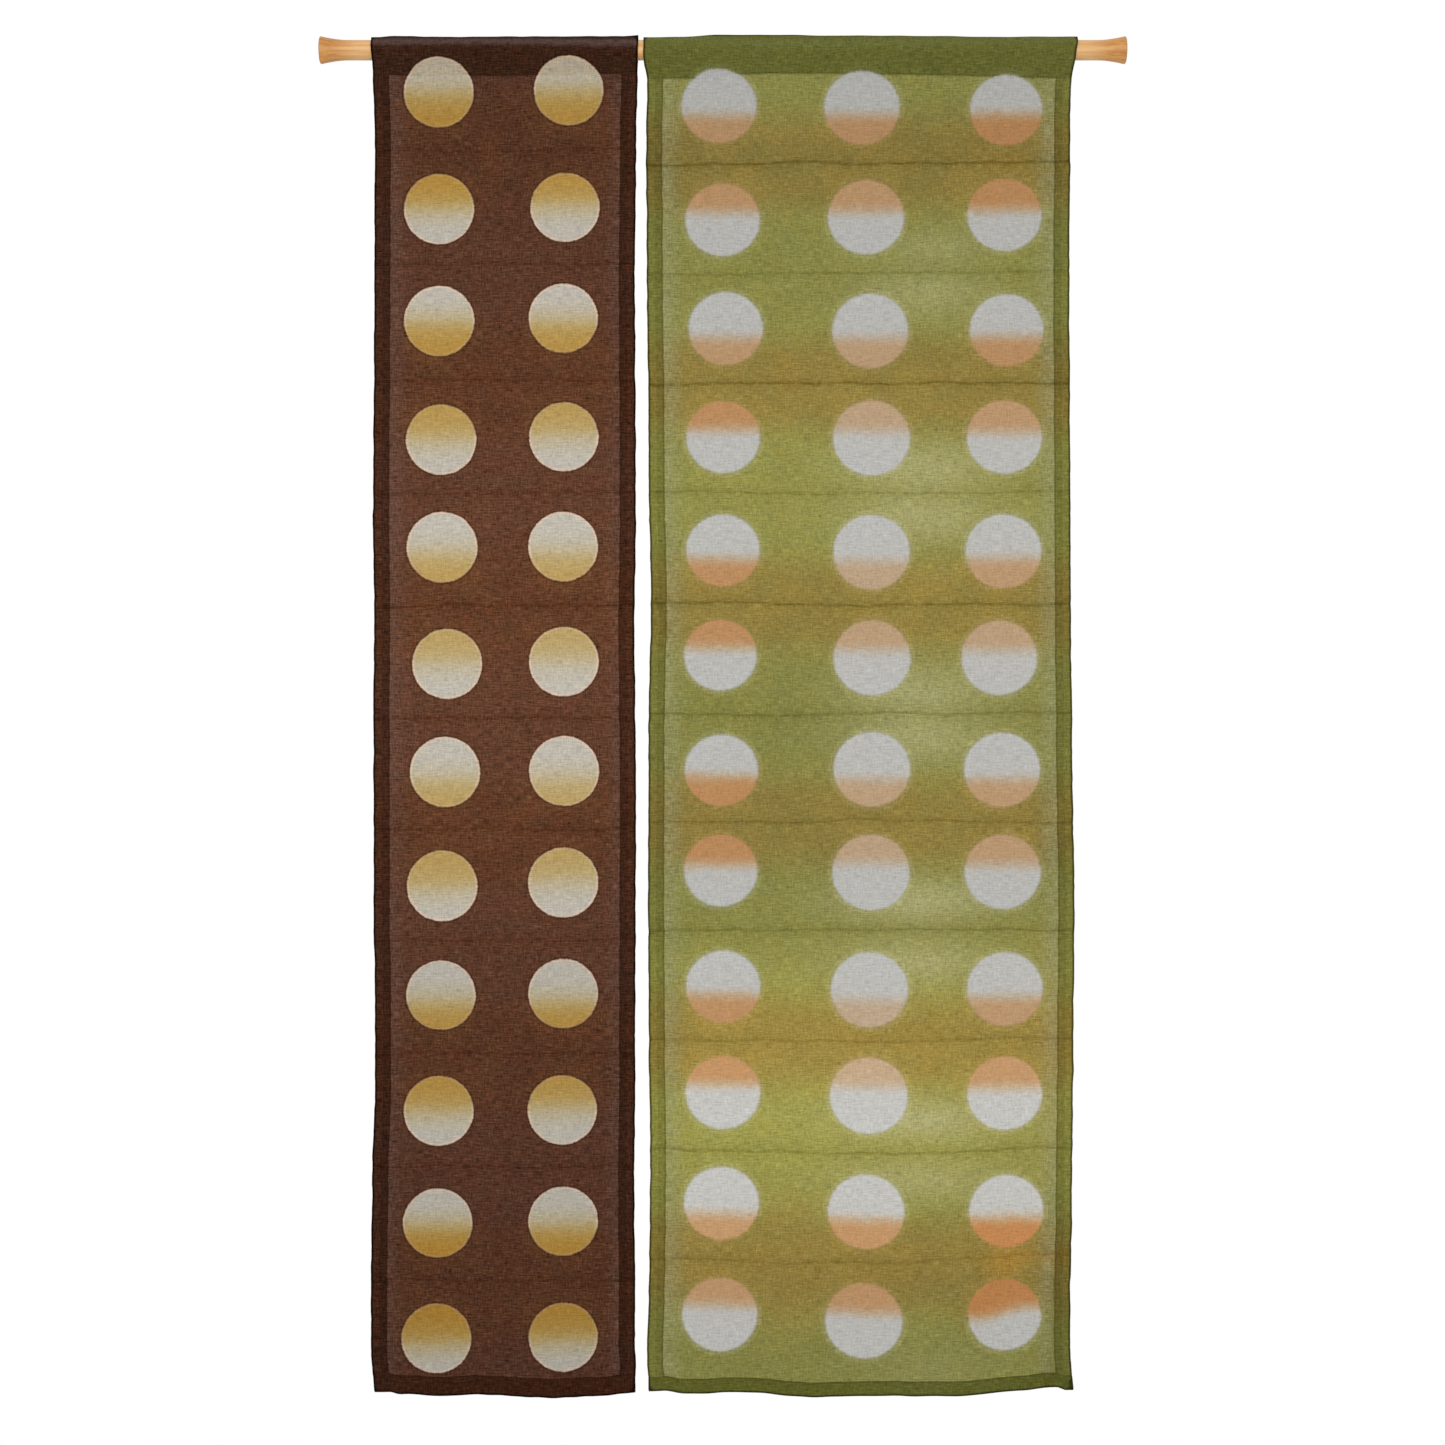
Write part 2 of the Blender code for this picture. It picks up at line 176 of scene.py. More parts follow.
BROWN = SimpleNamespace(
    name="brown_cloth", node="brown_panel", slot="brown_cloth", seed=3.7, spacing=0.005,
    stitch_height=-0.03, bottom_hem=0.0238,
    flat=(0.388, 1.8),
    sides=(
        (0.02, -0.4394, -0.1058), (-0.025, -0.4372, -0.1066), (-0.1, -0.4353, -0.1084),
        (-0.3, -0.4357, -0.11), (-0.6, -0.4369, -0.109), (-0.7, -0.4359, -0.1108), (-0.9, -0.4365, -0.109),
        (-1.09, -0.4362, -0.1093), (-1.19, -0.4345, -0.11), (-1.3, -0.4345, -0.1099),
        (-1.41, -0.4379, -0.111), (-1.55, -0.4395, -0.1102), (-1.61, -0.4395, -0.1099),
        (-1.69, -0.4353, -0.1088),
    ),
    top=(
        (0.0, -0.0008), (0.08, 0.0006), (0.3, -0.0006), (0.6, 0.0002), (0.94, 0.0004), (1.0, 0.0016),
    ),
    seam=(
        (0.0, 0.0012), (0.5, 0.0018), (0.88, -0.0004), (1.0, -0.0004),
    ),
    bottom=(
        (0.0, -1.6765), (0.06, -1.6768), (0.1, -1.6795), (0.25, -1.6828), (0.42, -1.6803), (0.68, -1.6835),
        (0.86, -1.6825), (1.0, -1.6785),
    ),
    creases=table(
        Crease,
        (-0.126, -0.125, -0.1245, 0.001, 0.0004, 0.52), (-0.268, -0.2675, -0.2665, -0.0008, 0.0004, 0.55),
        (-0.413, -0.412, -0.4125, 0.0014, 0.0006, 0.59), (-0.5545, -0.553, -0.554, -0.001, 0.0004, 0.55),
        (-0.6945, -0.6935, -0.693, 0.0012, 0.0005, 0.78), (-0.8355, -0.835, -0.834, -0.0012, 0.0005, 0.72),
        (-0.9745, -0.9735, -0.974, 0.0013, 0.0006, 0.59), (-1.113, -1.112, -1.1125, -0.0009, 0.0004, 0.59),
        (-1.2545, -1.2535, -1.254, 0.0012, 0.0005, 0.59), (-1.395, -1.396, -1.3945, -0.0011, 0.0005, 0.59),
        (-1.538, -1.537, -1.5375, 0.001, 0.0004, 0.52),
    ),
    folds=(
        (0.0, 0.22, -0.0035), (0.27, 0.26, 0.004), (0.62, 0.3, -0.005), (1.0, 0.28, 0.003),
    ),
    dots=table(
        DotRow,
        ((-0.0527, -0.0502), (-0.3553, -0.1928), (0.0434, 0.0431), (0.9, 0.88), (0.0025, 0.0035), 0.82),
        ((-0.1985, -0.1964), (-0.3548, -0.1974), (0.0436, 0.0429), (0.92, 0.86), (0.0043, 0.0064), 0.89),
        ((-0.3385, -0.335), (-0.3547, -0.1996), (0.0436, 0.0428), (0.86, 0.82), (0.0036, 0.0073), 0.925),
        ((-0.4866, -0.4832), (-0.3522, -0.1989), (0.0437, 0.0429), (0.7, 0.64), (0.0022, 0.0043), 0.945),
        ((-0.6213, -0.6205), (-0.3511, -0.1996), (0.0439, 0.0431), (0.64, 0.6), (0.0105, 0.0104), 0.985),
        ((-0.767, -0.7642), (-0.3447, -0.1988), (0.0434, 0.0431), (0.54, 0.5), (0.0035, 0.0053), 0.98),
        ((-0.9022, -0.901), (-0.3474, -0.1984), (0.0436, 0.0433), (0.58, 0.52), (0.0115, 0.0113), 0.97),
        ((-1.0447, -1.0402), (-0.351, -0.1995), (0.0438, 0.0434), (0.6, 0.54), (-0.0017, 0.0053), 0.935),
        ((-1.1815, -1.1791), (-0.3526, -0.1995), (0.0431, 0.0431), (0.84, 0.88), (0.0114, 0.0134), 0.855),
        ((-1.3259, -1.3242), (-0.3554, -0.2007), (0.0433, 0.0429), (0.84, 0.8), (0.0026, 0.0069), 0.86),
        ((-1.4665, -1.4633), (-0.3566, -0.1996), (0.0431, 0.0429), (1.05, 1.0), (0.0079, 0.0098), 0.82),
        ((-1.6108, -1.608), (-0.3583, -0.1995), (0.0432, 0.0427), (1.0, 0.96), (-0.003, 0.0001), 0.76),
    ),
    pale_clouds=(
        (-0.408, -0.55, 0.016, 0.5, 0.1),
    ),
    bright_clouds=(
        (-0.273, -0.73, 0.5, 0.5, 1.0),
    ),
    stain_clouds=(),
    dark_clouds=(
        (-0.273, -1.64, 0.5, 0.03, 0.06),
    ),
    ground_dye=SimpleNamespace(
        open_colour=paint(77, 48, 35), band_colour=paint(76, 46, 31), softness=0.024,
        bright_tint=(1.57, 1.59, 1.46), pale_colour=paint(118, 92, 82),
        # The margin colour is painted light from behind, showing through the weave beside the side hems.
        backlit_margin_colour=paint(108, 92, 86), backlit_margin_width=0.022, backlit_margin_amount=0.13,
        # The crease tint is partly dye in the folds and partly painted shade of their grooves.
        stain_colour=paint(96, 62, 34), stain_amount=0.25, crease_dye_and_shade_tint=(0.66, 0.5, 0.32),
        warm=(1.04, 0.98, 0.98), cool=(0.965, 1.015, 1.01),
    ),
    dot_dye=SimpleNamespace(
        open_colour=paint(185, 179, 167), dye_tint=(0.85, 0.5, 0.106), quick_share=0.25,
        quick_width=0.012, slow_width=0.036, stretch=1.0, edge_softness=0.0014,
        rim_colour=paint(216, 188, 164), rim_from=-0.0008, rim_to=0.0016, rim_amount=0.65,
        outline_share=0.72,
    ),
    # The hems' tints and shares are painted shade: less light comes through the doubled hems and the pocket,
    # and the folded edges are darker. The pale colour and its amount paint a highlight along the pocket's
    # top.
    hems=SimpleNamespace(
        side_hem_shade=(0.57, 0.51, 0.48), end_hem_shade=(0.48, 0.45, 0.39), bottom_hem_shade=(1.04, 0.95, 0.87),
        heading_dot_shade=(0.97, 0.9, 0.79),
        turned_in_shade=0.8, edge_shade_share=0.1, top_highlight_colour=paint(90, 71, 66), top_highlight_amount=0.72,
        thread_dark=paint(34, 20, 14), thread_light=paint(58, 36, 27),
    ),
    ground_grain=0.95, dot_grain=0.36, pale_threads=0.16,
)

GREEN = SimpleNamespace(
    name="green_cloth", node="green_panel", slot="green_cloth", seed=11.3, spacing=0.0064,
    stitch_height=-0.0305, bottom_hem=0.0185,
    flat=(0.59, 1.8),
    sides=(
        (0.02, -0.0994, 0.4428), (-0.012, -0.0988, 0.4395), (-0.038, -0.0946, 0.4354),
        (-0.1, -0.0957, 0.4344), (-0.25, -0.0951, 0.4328), (-0.5, -0.0929, 0.4338), (-0.7, -0.0901, 0.4348),
        (-0.85, -0.093, 0.436), (-1.05, -0.0935, 0.439), (-1.26, -0.0925, 0.4378), (-1.36, -0.091, 0.4364),
        (-1.46, -0.0917, 0.436), (-1.56, -0.0925, 0.4336), (-1.625, -0.0947, 0.4334),
        (-1.68, -0.0931, 0.4378),
    ),
    top=(
        (0.0, -0.0008), (0.08, -0.0006), (0.17, 0.002), (0.33, 0.002), (0.43, 0.001), (0.68, 0.0006),
        (0.8, -0.0002), (1.0, -0.0004),
    ),
    seam=(
        (0.0, 0.005), (0.1, 0.0051), (0.24, -0.0006), (0.3, -0.0015), (0.42, -0.0013), (0.58, -0.0003),
        (0.73, 0.001), (0.8, 0.0021), (0.915, 0.004), (1.0, 0.0046),
    ),
    bottom=(
        (0.0, -1.6775), (0.04, -1.6762), (0.08, -1.6792), (0.21, -1.6765), (0.39, -1.685), (0.6, -1.6815),
        (0.74, -1.6812), (0.88, -1.6765), (0.963, -1.6706), (0.985, -1.6742), (1.0, -1.6738),
    ),
    creases=table(
        Crease,
        (-0.1438, -0.14, -0.1395, 0.0018, 0.0009, 1.0), (-0.28, -0.2788, -0.275, -0.0012, 0.0005, 0.6),
        (-0.4163, -0.4155, -0.4165, 0.002, 0.001, 1.0), (-0.5525, -0.554, -0.553, -0.001, 0.0005, 0.6),
        (-0.6913, -0.6938, -0.6925, 0.0017, 0.001, 0.9), (-0.829, -0.8295, -0.83, -0.0014, 0.0006, 0.75),
        (-0.965, -0.964, -0.9655, 0.0019, 0.0009, 0.6), (-1.1005, -1.1, -1.099, -0.0011, 0.0006, 0.75),
        (-1.236, -1.2406, -1.235, 0.002, 0.001, 0.6), (-1.3725, -1.3805, -1.37, -0.0013, 0.0007, 0.75),
        (-1.511, -1.5188, -1.506, 0.0021, 0.001, 0.5),
    ),
    folds=(
        (0.0, 0.14, 0.003), (0.18, 0.17, -0.0045), (0.42, 0.2, 0.006), (0.68, 0.2, -0.0045),
        (0.88, 0.14, 0.004), (1.0, 0.09, -0.005),
    ),
    dots=table(
        DotRow,
        ((-0.0697, -0.0717, -0.0747), (-0.0048, 0.1737, 0.3541), (0.0466, 0.0468, 0.0447),
         (0.61, 0.66, 0.81), (0.0123, 0.0105, 0.0059), 0.84),
        ((-0.2118, -0.2086, -0.2057), (-0.0004, 0.1789, 0.3522), (0.0462, 0.0472, 0.0459),
         (0.65, 0.6, 0.78), (0.0105, 0.008, 0.0072), 0.9),
        ((-0.348, -0.3508, -0.3501), (0.0034, 0.1842, 0.3547), (0.0461, 0.0471, 0.0457),
         (0.57, 0.48, 0.69), (0.0122, 0.0094, 0.0086), 0.935),
        ((-0.4836, -0.4846, -0.4834), (0.0003, 0.1858, 0.3519), (0.0458, 0.0476, 0.0465),
         (0.75, 0.42, 0.58), (0.0102, 0.0092, 0.0064), 0.98),
        ((-0.6253, -0.6276, -0.6264), (0.0001, 0.1858, 0.3508), (0.0456, 0.0473, 0.047),
         (0.73, 0.39, 0.55), (0.0111, 0.0114, 0.0092), 1.0),
        ((-0.7561, -0.7594, -0.7593), (-0.0031, 0.1863, 0.3456), (0.045, 0.0476, 0.0471),
         (0.75, 0.46, 0.44), (0.0101, 0.0104, 0.0097), 0.99),
        ((-0.9001, -0.8989, -0.8996), (-0.002, 0.1861, 0.349), (0.0454, 0.0474, 0.0472),
         (0.78, 0.43, 0.53), (0.0079, 0.0127, 0.012), 0.995),
        ((-1.0251, -1.0278, -1.027), (-0.0027, 0.1851, 0.3497), (0.0455, 0.0478, 0.0473),
         (0.78, 0.4, 0.52), (0.0079, 0.0124, 0.0087), 0.98),
        ((-1.1705, -1.1748, -1.1738), (0.0002, 0.1832, 0.3526), (0.046, 0.0477, 0.047),
         (0.7, 0.33, 0.57), (0.0097, 0.013, 0.0106), 1.03),
        ((-1.3024, -1.3072, -1.3038), (0.0, 0.1824, 0.3524), (0.0461, 0.0482, 0.0465),
         (0.73, 0.39, 0.66), (0.0108, 0.0114, 0.0076), 1.145),
        ((-1.4407, -1.4525, -1.4516), (-0.0019, 0.179, 0.3543), (0.0463, 0.0474, 0.0462),
         (0.64, 0.69, 0.93), (0.0135, 0.0111, 0.0093), 1.13),
        ((-1.5796, -1.5888, -1.5811), (-0.0039, 0.1762, 0.3522), (0.0465, 0.0477, 0.0452),
         (0.61, 0.65, 0.95), (0.0126, 0.0099, 0.0044), 0.98, (0.0, 0.0, 0.3)),
    ),
    pale_clouds=(
        (0.265, -0.246, 0.06, 0.022, 0.22), (0.255, -0.305, 0.08, 0.028, 0.28),
        (0.248, -0.52, 0.09, 0.03, 0.4), (0.248, -0.585, 0.09, 0.03, 0.4), (0.244, -0.8, 0.09, 0.032, 0.38),
        (0.244, -0.862, 0.09, 0.029, 0.38), (0.24, -1.062, 0.095, 0.027, 0.48),
        (0.24, -1.14, 0.095, 0.027, 0.38), (0.246, -1.336, 0.09, 0.024, 0.5),
        (0.246, -1.412, 0.09, 0.024, 0.32), (0.255, -1.65, 0.09, 0.035, 0.1),
    ),
    bright_clouds=(
        (0.12, -1.33, 0.45, 0.15, 1.0), (0.12, -0.56, 0.5, 0.2, 0.42), (0.12, -0.95, 0.5, 0.05, 0.16),
        (0.27, -0.955, 0.1, 0.2, 0.16), (0.27, -0.69, 0.1, 0.05, 0.14), (0.12, -1.17, 0.5, 0.06, 0.38),
    ),
    stain_clouds=(
        (0.351, -1.5165, 0.022, 0.034, 0.8), (0.395, -1.508, 0.034, 0.013, 0.6),
        (0.352, -0.14, 0.04, 0.02, 0.45), (0.082, -0.405, 0.022, 0.03, 0.3),
        (0.12, -1.238, 0.4, 0.028, 0.15), (0.12, -1.512, 0.4, 0.028, 0.22),
        (0.084, -1.45, 0.05, 0.025, 0.22), (0.41, -1.23, 0.018, 0.16, 0.2),
        (0.084, -1.575, 0.05, 0.035, 0.3), (-0.004, -1.533, 0.045, 0.016, 0.26),
        (0.177, -1.54, 0.045, 0.016, 0.26),
    ),
    dark_clouds=(
        (0.34, -0.08, 0.11, 0.05, 0.1), (-0.066, -0.125, 0.04, 0.09, 0.09), (0.17, -0.13, 0.5, 0.028, 0.07),
        (-0.06, -1.22, 0.03, 0.1, 0.08), (0.09, -0.83, 0.08, 0.05, 0.07), (0.17, -1.64, 0.5, 0.03, 0.06),
        (0.422, -1.57, 0.022, 0.15, 0.2),
    ),
    ground_dye=SimpleNamespace(
        open_colour=paint(128, 126, 67), band_colour=paint(128, 114, 59), softness=0.03,
        bright_tint=(1.5, 1.46, 1.33), pale_colour=paint(182, 178, 136),
        # The margin colour is painted light from behind, showing through the weave beside the side hems.
        backlit_margin_colour=paint(144, 145, 112), backlit_margin_width=0.03, backlit_margin_amount=0.38,
        # The crease tint is partly dye in the folds and partly painted shade of their grooves.
        stain_colour=paint(152, 120, 54), stain_amount=0.28, crease_dye_and_shade_tint=(0.62, 0.6, 0.42),
        warm=(1.02, 0.995, 0.95), cool=(0.985, 1.005, 1.04),
    ),
    dot_dye=SimpleNamespace(
        open_colour=paint(178, 177, 173), dye_tint=(0.976, 0.43, 0.15), quick_share=0.92,
        quick_width=0.0125, slow_width=0.036, stretch=1.012, edge_softness=0.0024,
        rim_colour=paint(196, 192, 158), rim_from=-0.0065, rim_to=-0.0015, rim_amount=0.1,
        outline_share=1.0,
    ),
    # The hems' tints and shares are painted shade: less light comes through the doubled hems and the pocket,
    # and the folded edges are darker. The pale colour and its amount paint a highlight along the pocket's
    # top.
    hems=SimpleNamespace(
        side_hem_shade=(0.76, 0.78, 0.66), end_hem_shade=(0.54, 0.57, 0.46), bottom_hem_shade=(0.87, 0.87, 0.75),
        heading_dot_shade=(1.0, 1.0, 1.0),
        turned_in_shade=0.84, edge_shade_share=0.26, top_highlight_colour=paint(114, 120, 78), top_highlight_amount=0.22,
        thread_dark=paint(66, 66, 30), thread_light=paint(100, 100, 50),
    ),
    ground_grain=0.48, dot_grain=0.3, pale_threads=0.1,
)
PANELS = (BROWN, GREEN)


def eased(places, values, at):
    """Reads values given at rising places, easing in and out between one place and the next."""
    places = np.asarray(places)
    values = np.asarray(values)
    at = np.clip(at, places[0], places[-1])
    index = np.clip(np.searchsorted(places, at, side="right") - 1, 0, len(places) - 2)
    part = (at - places[index]) / (places[index + 1] - places[index])
    return values[index] + (values[index + 1] - values[index]) * part * part * (3.0 - 2.0 * part)


def rough(x, z, wide, tall, seed):
    """Smooth noise from about -1 to 1, in patches about this wide and tall."""
    x, z = np.broadcast_arrays(x, z)
    values = [noise.noise(Vector((a / wide, b / tall, seed))) for a, b in zip(x.ravel(), z.ravel())]
    return np.array(values).reshape(x.shape)


def bump(distance):
    """A soft hump: 1 in the middle, 0 from a distance of 1 on."""
    return 0.5 + 0.5 * np.cos(np.pi * np.clip(np.abs(distance), 0.0, 1.0))


def width_of(panel):
    """The panel's nominal width."""
    _, left, right = panel.sides[2]
    return right - left


def side_edges(panel, height):
    """X of the panel's left and right edges at each height, with the small wobble of a sewn edge."""
    heights, *sides = zip(*panel.sides[::-1])
    long, short = WOBBLE_LENGTHS
    edges = []
    for side, seed in zip(sides, (panel.seed, panel.seed + 1)):
        edge = eased(heights, side, height) + EDGE_WOBBLE * rough(0.0, height, 1.0, long, seed)
        edges.append(edge + EDGE_WOBBLE / 2 * rough(0.0, height, 1.0, short, seed + 2))
    return edges


def bottom_height(panel, share):
    """Height of the bottom edge at each share of the width."""
    wobble = EDGE_WOBBLE * rough(share, 0.0, BOTTOM_WOBBLE_WIDTH, 1.0, panel.seed + 4)
    return eased(*zip(*panel.bottom), share) + wobble


def seam_height(panel, share):
    """Height of the line of stitches that closes the pocket, which sags a little from place to place."""
    return panel.stitch_height - eased(*zip(*panel.seam), share)


def crease_height(panel, crease, share):
    """Height of a crease at each share of the width, wandering a little as it goes."""
    wide, narrow = CREASE_WANDER_WIDTHS
    height = eased((0.0, 0.5, 1.0), (crease.left, crease.middle, crease.right), share)
    wander = rough(share, crease.middle, wide, CREASE_WANDER_TALL, panel.seed + 5)
    finer = rough(share, crease.middle, narrow, CREASE_WANDER_TALL, panel.seed + 6)
    return height + CREASE_WANDER * wander + CREASE_WANDER / 2 * finer


def crumple(panel, share, height):
    """The soft unevenness of washed cloth, with puckers beside its hems."""
    across = share * width_of(panel)
    inward = np.minimum(across, width_of(panel) - across)
    waves = [depth * rough(across, height, wide, tall, panel.seed + 7 + index)
             for index, (depth, wide, tall) in enumerate(CRUMPLES + (PUCKERS,))]
    hem_line = np.exp(-np.abs(inward - SIDE_HEM_WIDTH) / PUCKER_REACH)
    return sum(waves[:-1]) + waves[-1] * hem_line


def cloth_back(panel, share, height):
    """How far the sheet stands behind the plane Y = 0, below the stitch line."""
    lowest = bottom_height(panel, share)
    seam = seam_height(panel, share)
    drop = np.clip((seam - height) / (seam - lowest), 0.0, 1.0)
    back = sum(deep * bump((share - place) / half_width) for place, half_width, deep in panel.folds)
    back = back * drop ** FOLD_GROWTH
    knots = [(lowest, 0.0)]
    for crease in reversed(panel.creases):
        middle = crease_height(panel, crease, share)
        away = np.abs(height - middle)
        knots.append((middle, crease.back))
        back = back + crease.groove * np.clip(1.0 - away / CREASE_HALF_WIDTH, 0.0, 1.0)
        back = back + CREASE_LINE_DEPTH * np.clip(1.0 - away / CREASE_LINE, 0.0, 1.0)
    knots.append((seam, 0.0))
    for (low, start), (high, end) in zip(knots, knots[1:]):
        part = (height - low) / (high - low)
        between = (height >= low) & (height < high)
        back = back + np.where(between, start + (end - start) * part, 0.0)
    return back + crumple(panel, share, height) * np.clip(drop * CRUMPLE_START, 0.0, 1.0)


def near_then_even(length, near, spacing):
    """Places from 0 up to, not with, a length: close together at its two ends, even between."""
    near = [0.0] + [place for place in near if place < length / 3]
    middle = np.linspace(near[-1], length - near[-1], max(2, round((length - 2 * near[-1]) / spacing)))
    return near[:-1] + list(middle) + [length - place for place in near[1:-1][::-1]]


def sheet_columns(panel):
    """Each column's share of the width, its lift to the back, and whether it is in the front layer.

    The columns run from the inner edge of the left hem's back layer, round the left edge, across the
    front and round the right edge to the inner edge of the right hem's back layer.
    """
    width = width_of(panel)
    hem = near_then_even(SIDE_HEM_WIDTH, NEAR_HEM_EDGE, HEM_SPACING)
    middle = near_then_even(width - 2 * SIDE_HEM_WIDTH, NEAR_SIDE_HEM, panel.spacing)
    front = [TURN_RADIUS] + hem[1:] + [SIDE_HEM_WIDTH + place for place in middle]
    front += [width - place for place in ([SIDE_HEM_WIDTH] + hem[:0:-1] + [TURN_RADIUS])]
    flap = [SIDE_HEM_WIDTH - TURN_RADIUS] + hem[:0:-1] + [TURN_RADIUS]
    left = [(place, 2 * TURN_RADIUS, False) for place in flap]
    for angle in TURN_ANGLES:
        left.append((TURN_RADIUS * (1 - math.sin(angle)), TURN_RADIUS * (1 + math.cos(angle)), False))
    right = [(width - place, lift, in_front) for place, lift, in_front in left[::-1]]
    place, lift, in_front = zip(*left + [(place, 0.0, True) for place in front] + right)
    return np.array(place) / width, np.array(lift), np.array(in_front)


def end_fold(panel, share):
    """How far apart an end hem's two layers lie: further where the side hems are between them."""
    inward = np.minimum(share, 1.0 - share) * width_of(panel)
    over_side_hem = np.clip((SIDE_HEM_WIDTH + HEM_STEP_REACH - inward) / HEM_STEP, 0.0, 1.0)
    return 2 * TURN_RADIUS * (1.0 + over_side_hem)


def back_layer(panel, share):
    """How far the pocket's back layer stands behind the front at the stitch line."""
    return BACK_LAYER + 2 * (end_fold(panel, share) - 2 * TURN_RADIUS)


def flat_rows(panel, share):
    """The rows below the pocket, from the end of the bottom hem's back layer up to the stitch line.

    Returns each row's heights and lifts to the back, and how many rows are behind or in the turn.
    """
    bottom = bottom_height(panel, share)
    fold = end_fold(panel, share)
    rows = []
    hem = near_then_even(panel.bottom_hem, NEAR_HEM_EDGE, HEM_SPACING) + [panel.bottom_hem]
    for place in hem[:0:-1]:
        rows.append((np.maximum(bottom + place, bottom + fold / 2), fold))
    for angle in TURN_ANGLES:
        rows.append((bottom + fold / 2 * (1 - math.sin(angle)), fold / 2 * (1 + math.cos(angle))))
    turned = len(rows)
    anchors = [bottom, bottom + panel.bottom_hem]
    anchors += [crease_height(panel, crease, share) for crease in reversed(panel.creases)]
    anchors.append(seam_height(panel, share))
    for low, high in zip(anchors, anchors[1:]):
        length = float(np.mean(high - low))
        for place in near_then_even(length, NEAR_ROWS, panel.spacing):
            height = low + (high - low) * place / length
            rows.append((np.maximum(height, bottom + fold / 2), 0.0 * share))
    heights, lifts = zip(*rows + [(anchors[-1], 0.0 * share)])
    return np.array(heights), np.array(lifts), turned


def pocket_path(panel):
    """The cloth's path from the stitch line over the rod and down behind, as rows of (Y, Z)."""
    radius = ROD_RADIUS + ROD_CLEARANCE
    reach = -panel.stitch_height
    leave = math.pi - math.acos(radius / reach)
    rim = (-radius * math.sin(leave), radius * math.cos(leave))
    path = [(rim[0] * part, -reach + (rim[1] + reach) * part)
            for part in np.linspace(0.0, 1.0, POCKET_RUN_ROWS)[:-1]]
    steps = round((leave - POCKET_SHOULDER) / POCKET_STEP)
    angles = list(np.linspace(leave, POCKET_SHOULDER, steps))
    angles += list(np.linspace(POCKET_SHOULDER, 0.0, POCKET_PEAK_ROWS)[1:])
    for angle in angles:
        lift = max(0.0, POCKET_SHOULDER - math.hypot(angle, POCKET_FOLD_SOFTNESS))
        distance = radius / math.cos(lift)
        path.append((-distance * math.sin(angle), distance * math.cos(angle)))
    return np.array(path + [(-y, z) for y, z in path[-2::-1]])


def cloth_length(path):
    """How far along the cloth each point of the pocket's path lies, from the stitch line on."""
    return np.concatenate(([0.0], np.cumsum(np.linalg.norm(np.diff(path, axis=0), axis=1))))


def pocket_rows(panel, share, column_lift):
    """The pocket's rows above the stitch line: Y, Z and the place along the cloth of their pattern."""
    path = pocket_path(panel)
    along = cloth_length(path)
    run = np.gradient(path, axis=0)
    run /= np.linalg.norm(run, axis=1)[:, None]
    top = path[:, 1].max()
    top_lift = eased(*zip(*panel.top), share)
    end = back_layer(panel, share)
    sag = panel.stitch_height - seam_height(panel, share)
    rows = []
    for index in range(1, len(path)):
        y, z = path[index]
        behind = index > len(path) // 2
        wave = np.abs(rough(share, z, *POCKET_WAVE_SIZE, panel.seed + 11)) * POCKET_WAVE
        lift = POCKET_PEAK_WAVE * rough(share, 0.0, POCKET_PEAK_WIDTH, 1.0, panel.seed + 12)
        peak = (lift + top_lift) * max(0.0, z / top) ** 4
        lower = min(1.0, max(0.0, z / panel.stitch_height)) ** 2
        settle = end * lower if behind else 0.0 * share
        ys = y + np.sign(y) * wave * min(1.0, abs(y) / ROD_RADIUS) + settle + run[index, 1] * column_lift
        zs = z + peak - sag * lower - run[index, 0] * column_lift
        rows.append((ys, zs, seam_height(panel, share) + along[index]))
    return rows


def end_rows(panel, share):
    """The cloth's last 8 mm, turned in at the stitch line and lying up inside the back layer."""
    fold = end_fold(panel, share)
    end = back_layer(panel, share)
    seam = seam_height(panel, share)
    pattern = seam + cloth_length(pocket_path(panel))[-1]
    rows = []
    for angle in TURN_ANGLES:
        ys = end - fold / 2 * (1 - math.cos(angle))
        rows.append((ys, seam - fold / 2 * math.sin(angle), pattern))
    for rise in (0.0, SEWN_IN / 2, SEWN_IN):
        rows.append((end - fold + rise * SEWN_IN_LEAN, seam + rise, pattern))
    return rows


def nearest_dot(panel, x, height):
    """Distance inward from the rim of the nearest dot, and that dot's depth of dye and lightness."""
    inside = np.full(x.shape, -1.0)
    depth = np.ones(x.shape)
    light = np.ones(x.shape)
    stretch = panel.dot_dye.stretch
    for row in panel.dots:
        for middle, place, radius, row_depth in zip(row.heights, row.places, row.radii, row.depths):
            found = radius - np.hypot((x - place) / stretch, (height - middle) * stretch)
            depth = np.where(found > inside, row_depth, depth)
            light = np.where(found > inside, row.light, light)
            inside = np.maximum(inside, found)
    return inside, depth, light


def tone_line(row, toward_band, x):
    """Height of the line, along a row of dots, where its band of dye begins."""
    starts = [height + toward_band * start for height, start in zip(row.heights, row.starts)]
    line = np.interp(x, row.places, starts)
    for place, lean in zip(row.places, row.leans):
        line = line + lean * (x - place) * bump((x - place) / LEAN_REACH)
    return line


def dye_tone(panel, x, height):
    """Distance from the nearest line where a band of dye begins: negative where the band lies.

    Every second space between two rows of dots is dyed once more.
    """
    lines = [tone_line(row, 1 if index % 2 else -1, x) for index, row in enumerate(panel.dots)]
    tone = height - lines[0]
    for index, (line, following) in enumerate(zip(lines, lines[1:] + [lines[-1] - 1.0])):
        into = np.minimum(line - height, height - following)
        tone = np.where(height < line, into if index % 2 else -into, tone)
    return tone


